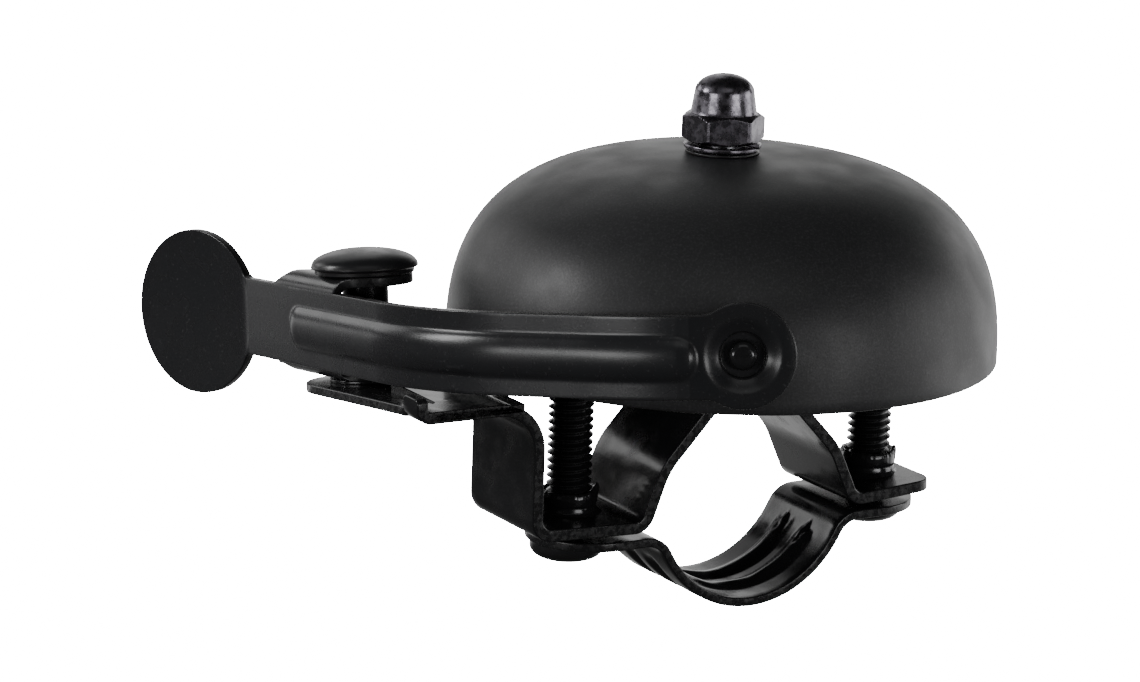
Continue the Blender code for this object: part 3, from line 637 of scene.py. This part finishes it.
def cut_recess(head, x):
    """Cross recess in a screw head, its floor narrower than its mouth."""
    depth, quarter = 2.4, 90
    for turn in (0, quarter):
        bm = bmesh.new()
        bmesh.ops.create_cube(bm, size=1)
        for vert in bm.verts:
            vert.co.x *= 3.2 if vert.co.z > 0 else 4.4
            vert.co.y *= 0.7 if vert.co.z > 0 else 1.0
        move = Matrix.Translation((x, 0, SCREW_SEAT - 2.2)) @ Matrix.Rotation(math.radians(turn + 20), 4, "Z")
        bm.transform(Matrix.Scale(0.001, 4) @ move @ Matrix.Scale(depth, 4, (0, 0, 1)))
        mesh = bpy.data.meshes.new("recess")
        bm.to_mesh(mesh)
        bm.free()
        cutter = bpy.data.objects.new("recess", mesh)
        bpy.context.collection.objects.link(cutter)
        cut = head.modifiers.new("recess", "BOOLEAN")
        cut.object, cut.solver = cutter, "EXACT"
        shape = head.evaluated_get(bpy.context.evaluated_depsgraph_get())
        carved = bpy.data.meshes.new_from_object(shape)
        head.modifiers.clear()
        head.data = carved
        bpy.data.objects.remove(cutter)


# ---------------------------------------------------------------- lever group

def striker_centre():
    """The middle of the striker's disc from the origin in plan, and the way it faces."""
    middle_r = ORBIT_R - ARM_SHEET / 2
    out = Vector((math.cos(STRIKER_ANGLE), math.sin(STRIKER_ANGLE)))
    return out * math.sqrt(middle_r ** 2 - STRIKER_R ** 2), out


def lever_path():
    """Plan of the lever's middle surface about the pivot, from the paddle's tip to the striker's."""
    inset = ARM_SHEET / 2
    radius, face = ORBIT_R - inset, ARM_X + inset
    neck = Vector((face, 37.5))
    tip = neck + PADDLE_WAY * (PADDLE_CENTRE + PADDLE_R)
    joins = math.radians(-146)  # where the arm meets its orbit round the dome
    entry = Vector((math.cos(joins), math.sin(joins))) * radius
    heading = Vector((-math.sin(joins), math.cos(joins)))
    turn = entry - heading * (entry.x - face) / heading.x
    line = rounded_path([tip, neck, turn, entry], [6, 32], math.radians(2))
    start = math.atan2(line[-1].y, line[-1].x)
    end = STRIKER_ANGLE - math.asin(STRIKER_R / radius)
    line += [Vector((math.cos(a), math.sin(a))) * radius for a in span(start, end, math.radians(2))[1:]]
    centre, out = striker_centre()
    line.append(centre + Vector((-out.y, out.x)) * STRIKER_R)
    return Path([p - Vector((PIVOT.x, PIVOT.y)) for p in line])


def disc_loop(middle, radius, fillet, facing):
    """A disc at an end of the arm with a soft inner corner above and below, from its top to its bottom."""
    run = math.sqrt((radius + fillet) ** 2 - (ARM_HALF + fillet) ** 2)
    meet = math.degrees(math.atan2(ARM_HALF + fillet, run))
    loop = arc((run, ARM_HALF + fillet), fillet, 270, 180 + meet, 8)
    loop += arc((0, 0), radius, meet, 360 - meet, 90)[1:-1]
    loop += arc((run, -ARM_HALF - fillet), fillet, 180 - meet, 90, 8)
    return [Vector((middle + facing * p.x, ARM_MID + p.y)) for p in loop]


def make_lever():
    """The lever's sheet with its raised bead, its dished paddle and the dish round the striker's rivet."""
    path = lever_path()
    end = path.length
    outline = disc_loop(PADDLE_R, PADDLE_R, 1.2, 1) + disc_loop(end - STRIKER_R, STRIKER_R, 2.2, -1)[::-1]
    bead_from = path.distance_of(lambda p: p.y <= 8.0)
    striker_s = end - STRIKER_R
    bead_to, bead_h, bead_half, bead_end = striker_s - 5.0, 0.72, 2.25, 1.9

    def emboss(s, h):
        near = math.hypot(max(bead_from + bead_end - s, s - bead_to + bead_end, 0.0), h - 1.2)
        bead = bead_h * (1 - min(near / bead_half, 1.0) ** 2.2) ** 0.75
        rho = math.hypot(s - striker_s, h - ARM_MID)
        dish = -0.85 * (1 - smooth(rho, 2.2, 4.1))
        paddle = math.hypot(s - PADDLE_R, h - ARM_MID) / PADDLE_R
        return bead + dish - 0.5 * (1 - min(paddle, 1.0) ** 2)

    hole = arc((striker_s, ARM_MID), 2.4, 0, 352.5, 47)
    bm = flat_blank(outline, [hole], ARM_SHEET, 0.13)
    s_cuts = span(0.8, 2 * PADDLE_R - 0.8, 0.9) + span(bead_from - 0.6, bead_from + 2.4, 0.25)
    s_cuts += span(bead_to - 2.4, bead_to + 0.6, 0.22) + span(striker_s - 4.2, striker_s + 4.2, 0.26)
    h_cuts = span(ARM_MID - 8.2, ARM_MID - 4.4, 0.95) + span(ARM_MID - 3.9, ARM_MID + 3.9, 0.22)
    h_cuts += span(ARM_MID + 4.4, ARM_MID + 8.2, 0.95)
    bend(bm, path, lambda p, h: Vector((p.x, p.y, h)), s_cuts, h_cuts, emboss)
    add_piece("lever_sheet", bm, ["lever", "lever_edge"], "lever", ["striker_lever"], leant=True,
              sharp=50)
    make_ear("ear_top", EAR_TOP - ARM_SHEET / 2, 5.1, 1)
    make_ear("ear_low", EAR_LOW + ARM_SHEET / 2, -2.5, -1)
    make_striker()


def make_ear(name, level, start, way):
    """One folded ear: up from the arm's edge, over a bend and round the pin, with a foot that fades out."""
    face = ARM_X + ARM_SHEET / 2 - PIVOT.x
    path = Path(rounded_path([Vector((face, start)), Vector((face, level)), Vector((6.0, level))], [1.15],
                             math.radians(8)))
    beyond = path.length - 6.0
    circle = [p + Vector((beyond, 0)) for p in arc((0, 0), 5.2, 74, -145, 60)]
    foot = [Vector((0.0, -2.0))] + circle[::-1] + [Vector((2.3, 9.0)), Vector((1.5, 9.9)), Vector((0.9, 11.2)),
                                                  Vector((0.45, 12.3)), Vector((0.0, 12.9))]
    bm = flat_blank(foot, [[p + Vector((beyond, 0)) for p in arc((0, 0), 1.8, 0, 350, 35)]],
                    ARM_SHEET - 0.03, 0.12)
    bend(bm, path, lambda p, h: Vector((p.x, h, p.y)), [], span(-4, 12, 2.0))
    add_piece(name, bm, ["lever", "lever_edge"], "lever", leant=True, sharp=50)


def make_striker():
    """Striker rivet seen in the dish, its recess, and the hammer behind that meets the dome."""
    middle, out = striker_centre()
    face = middle + out * ARM_SHEET / 2
    turn = Vector((out.x, out.y, 0)).to_track_quat("Z", "Y").to_matrix().to_4x4()
    move = Matrix.Translation((face.x - PIVOT.x, face.y - PIVOT.y, ARM_MID)) @ turn
    cup = soft_lathe([(0, -2.1), (2.6, -2.1), (2.6, -1.0), (2.36, -0.95), (2.3, -1.55), (0, -1.6)], 0.1, 72)
    cup.transform(move)
    add_piece("striker_recess", cup, ["lever"], "lever", leant=True)
    head = [(0, -1.8), (1.5, -1.8), (1.55, -0.95), (1.4, -0.5), (1.0, -0.24), (0, -0.1)]
    rivet = lathe(soft_loop(head, [0, 0, 0.25, 0.35, 0.4, 0]), 64)
    rivet.transform(move)
    add_piece("striker_rivet", rivet, ["screw"], "lever", leant=True)
    hammer = soft_lathe([(0, -2.0), (2.3, -2.0), (2.3, -2.3), (1.7, -3.0), (0, -3.02)], 0.25, 64)
    hammer.transform(move)
    add_piece("striker_hammer", hammer, ["screw"], "lever", ["striker_pin"], leant=True)


def make_pivot():
    """The leant pin with its large round head, the bush between the ears and the two washers."""
    top = EAR_TOP + GAP
    head = [(0, top), (5.4, top), (5.4, top + 0.42), (5.6, top + 0.5), (5.82, top + 0.62), (5.82, top + 0.78)]
    for i in range(1, 24):
        t = math.pi / 2 * i / 24
        head.append((5.78 * math.cos(t) ** 0.93, top + 0.84 + 1.85 * math.sin(t)))
    head.append((0, top + 0.84 + 1.85))
    bm = lathe(soft_loop(head, [0, 0.08, 0.06, 0.06, 0.1, 0.1] + [0] * (len(head) - 6)), 144)
    add_piece("pivot_head", bm, ["cap"], "bracket", leant=True)
    tail = PLATE_TOP - PLATE_SHEET - 1.0
    shaft = [(0, tail), (2.0, tail), (2.2, tail + 0.35), (1.45, tail + 0.45), (1.45, top + 0.3), (0, top + 0.3)]
    bm = soft_lathe(shaft, 0.1, 64)
    add_piece("pivot_shaft", bm, ["screw"], "bracket", ["pivot_pin"], leant=True)
    low, high = EAR_LOW + ARM_SHEET + GAP, EAR_TOP - ARM_SHEET - GAP
    bm = soft_lathe([(1.6, low), (2.5, low), (2.5, high), (1.6, high)], 0.1, 72)
    add_piece("bush", bm, ["screw"], "bracket", ["pivot_bush"], leant=True)
    low, high = PLATE_TOP + 0.06, EAR_LOW - 0.06
    bm = soft_lathe([(1.6, low), (4.2, low), (4.2, high), (1.6, high)], 0.08, 96)
    add_piece("lever_washer", bm, ["screw"], "bracket", ["pivot_washer"], leant=True)
    low, high = PLATE_TOP - PLATE_SHEET - 0.6, PLATE_TOP - PLATE_SHEET - 0.06
    bm = soft_lathe([(1.6, low), (3.6, low), (3.6, high), (1.6, high)], 0.12, 96)
    add_piece("tail_washer", bm, ["screw"], "bracket", ["rivet_washer"], leant=True)


def make_spring():
    """Torsion spring wire round the bush with its two legs."""
    coil_r, wire_r, turns, pitch = 3.3, 0.42, 6.25, 0.95
    per_turn, bottom = 48, EAR_LOW + ARM_SHEET + wire_r + 0.2
    points = [(6.9, -coil_r, bottom - 3.6), (6.9, -coil_r, bottom - 0.8), (6.75, -coil_r, bottom - 0.25),
              (6.4, -coil_r, bottom), (2.0, -coil_r, bottom)]
    for i in range(int(turns * per_turn) + 1):
        t = -2 * math.pi * (i / per_turn + 0.25)
        points.append((coil_r * math.cos(t), coil_r * math.sin(t), bottom + pitch * i / per_turn))
    points += [(points[-1][0], y, points[-1][2]) for y in (2.0, 5.0, 8.5)]
    curve = bpy.data.curves.new("spring_wire", "CURVE")
    curve.dimensions, curve.bevel_depth, curve.bevel_resolution = "3D", wire_r * 0.001, 4
    curve.use_fill_caps = True
    spline = curve.splines.new("POLY")
    spline.points.add(len(points) - 1)
    move = Matrix.Scale(0.001, 4) @ Matrix.Translation(PIVOT) @ Matrix.Rotation(-LEAN, 4, "X")
    for point, place in zip(spline.points, points):
        point.co = (*(move @ Vector(place)), 1)
    spline.use_smooth = True
    curve.materials.append(MATS["wire"])
    obj = bpy.data.objects.new("spring_wire", curve)
    bpy.context.collection.objects.link(obj)
    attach(obj, "bracket")
    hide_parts("torsion_spring")


# ---------------------------------------------------------------- stage

def make_camera():
    """Sets the camera to the front left of the bell and a little above, and returns the way back to it."""
    azimuth, rise, roll = math.radians(-31), math.radians(13.4), math.radians(2.05)
    distance, aim_across, aim_above, lens = 430.0, -16.329, 0.708, 124.737
    right = Vector((math.cos(azimuth), math.sin(azimuth), 0))
    back = Vector((math.sin(azimuth) * math.cos(rise), -math.cos(azimuth) * math.cos(rise), math.sin(rise)))
    up = back.cross(right)
    across = right * math.cos(roll) + up * math.sin(roll)
    above = up * math.cos(roll) - right * math.sin(roll)
    aim = Vector((0, 0, RIM)) + across * aim_across + above * aim_above
    camera = bpy.data.cameras.new("camera")
    camera.sensor_width, camera.lens, camera.clip_start = 36, lens, 0.01
    obj = bpy.data.objects.new("camera", camera)
    bpy.context.collection.objects.link(obj)
    turn = Matrix((across, above, back)).transposed().to_4x4()
    obj.matrix_world = Matrix.Translation((aim + back * distance) * 0.001) @ turn
    bpy.context.scene.camera = obj
    return back


def softbox(name, back, azimuth, rise, distance, width, height, power):
    """A soft light at the given angles from the camera, in degrees, and distance in metres."""
    turn = Matrix.Rotation(math.radians(azimuth), 3, "Z")
    flat = Vector((back.x, back.y, 0)).normalized()
    way = (turn @ flat) * math.cos(math.radians(rise)) + Vector((0, 0, math.sin(math.radians(rise))))
    light = bpy.data.lights.new(name, "AREA")
    light.shape, light.size, light.size_y, light.energy = "RECTANGLE", width, height, power
    obj = bpy.data.objects.new(name, light)
    bpy.context.collection.objects.link(obj)
    obj.location = Vector((0, 0, 0.02)) + way * distance
    obj.rotation_euler = way.to_track_quat("Z", "Y").to_euler()
    obj.visible_camera = False


def side_glow(tree, coordinate, way, start, end, dim, bright):
    """Strength that goes from dim to bright along one direction, and is WHITE for rays from the camera."""
    nodes, links = tree.nodes, tree.links
    dot = nodes.new("ShaderNodeVectorMath")
    dot.operation = "DOT_PRODUCT"
    dot.inputs[1].default_value = way
    links.new(nodes.new("ShaderNodeTexCoord").outputs[coordinate], dot.inputs[0])
    ramp = nodes.new("ShaderNodeMapRange")
    ramp.interpolation_type = "SMOOTHSTEP"
    for name, number in zip(RANGE, (start, end, dim, bright)):
        ramp.inputs[name].default_value = number
    links.new(dot.outputs["Value"], ramp.inputs["Value"])
    mix = nodes.new("ShaderNodeMix")
    mix.inputs["B"].default_value = WHITE
    links.new(nodes.new("ShaderNodeLightPath").outputs["Is Camera Ray"], mix.inputs["Factor"])
    links.new(ramp.outputs["Result"], mix.inputs["A"])
    return mix.outputs["Result"]


def make_world():
    """A dim surround with one brighter side behind the bell."""
    world = bpy.data.worlds.new("studio")
    bpy.context.scene.world = world
    world.use_nodes = True
    shade = world.node_tree.nodes["Background"]
    shade.inputs["Color"].default_value = (1, 1, 1, 1)
    glow = side_glow(world.node_tree, "Generated", (0.515, 0.857, 0.0), 0.8, 1.0, 0.03, 1.4)
    world.node_tree.links.new(glow, shade.inputs["Strength"])


def make_floor():
    """A floor well under the bell, which glows towards the back and is clear from below."""
    size, level = 6.0, -0.03
    bm = bmesh.new()
    bmesh.ops.create_grid(bm, x_segments=1, y_segments=1, size=size)
    bmesh.ops.translate(bm, verts=bm.verts, vec=(0, 0, level))
    mesh = bpy.data.meshes.new("floor")
    bm.to_mesh(mesh)
    bm.free()
    mat = bpy.data.materials.new("pale_floor")
    mat.use_nodes = True
    nodes, links = mat.node_tree.nodes, mat.node_tree.links
    bsdf = nodes["Principled BSDF"]
    bsdf.inputs["Base Color"].default_value = (0.08, 0.08, 0.08, 1)
    bsdf.inputs["Roughness"].default_value = 1.0
    bsdf.inputs["Emission Color"].default_value = (1, 1, 1, 1)
    glow = side_glow(mat.node_tree, "Object", (0.8, 0.6, 0.0), 0.0, 0.1, 0.0, 1.5)
    links.new(glow, bsdf.inputs["Emission Strength"])
    one_sided = nodes.new("ShaderNodeMixShader")
    links.new(nodes.new("ShaderNodeNewGeometry").outputs["Backfacing"], one_sided.inputs["Fac"])
    links.new(bsdf.outputs["BSDF"], one_sided.inputs[1])
    links.new(nodes.new("ShaderNodeBsdfTransparent").outputs["BSDF"], one_sided.inputs[2])
    links.new(one_sided.outputs["Shader"], nodes["Material Output"].inputs["Surface"])
    mesh.materials.append(mat)
    floor = bpy.data.objects.new("floor", mesh)
    bpy.context.collection.objects.link(floor)


make_dome()
make_nut()
make_washers()
make_post()
make_bracket()
make_strap()
make_screw("screw_left", STRAP_X - SCREW_X, "clamp_screw_left")
make_screw("screw_right", STRAP_X + SCREW_X, "clamp_screw_right")
make_lever()
make_pivot()
make_spring()
make_world()
make_floor()
camera_back = make_camera()
for light_name, light_values in LIGHTS.items():
    softbox(light_name, camera_back, *light_values)
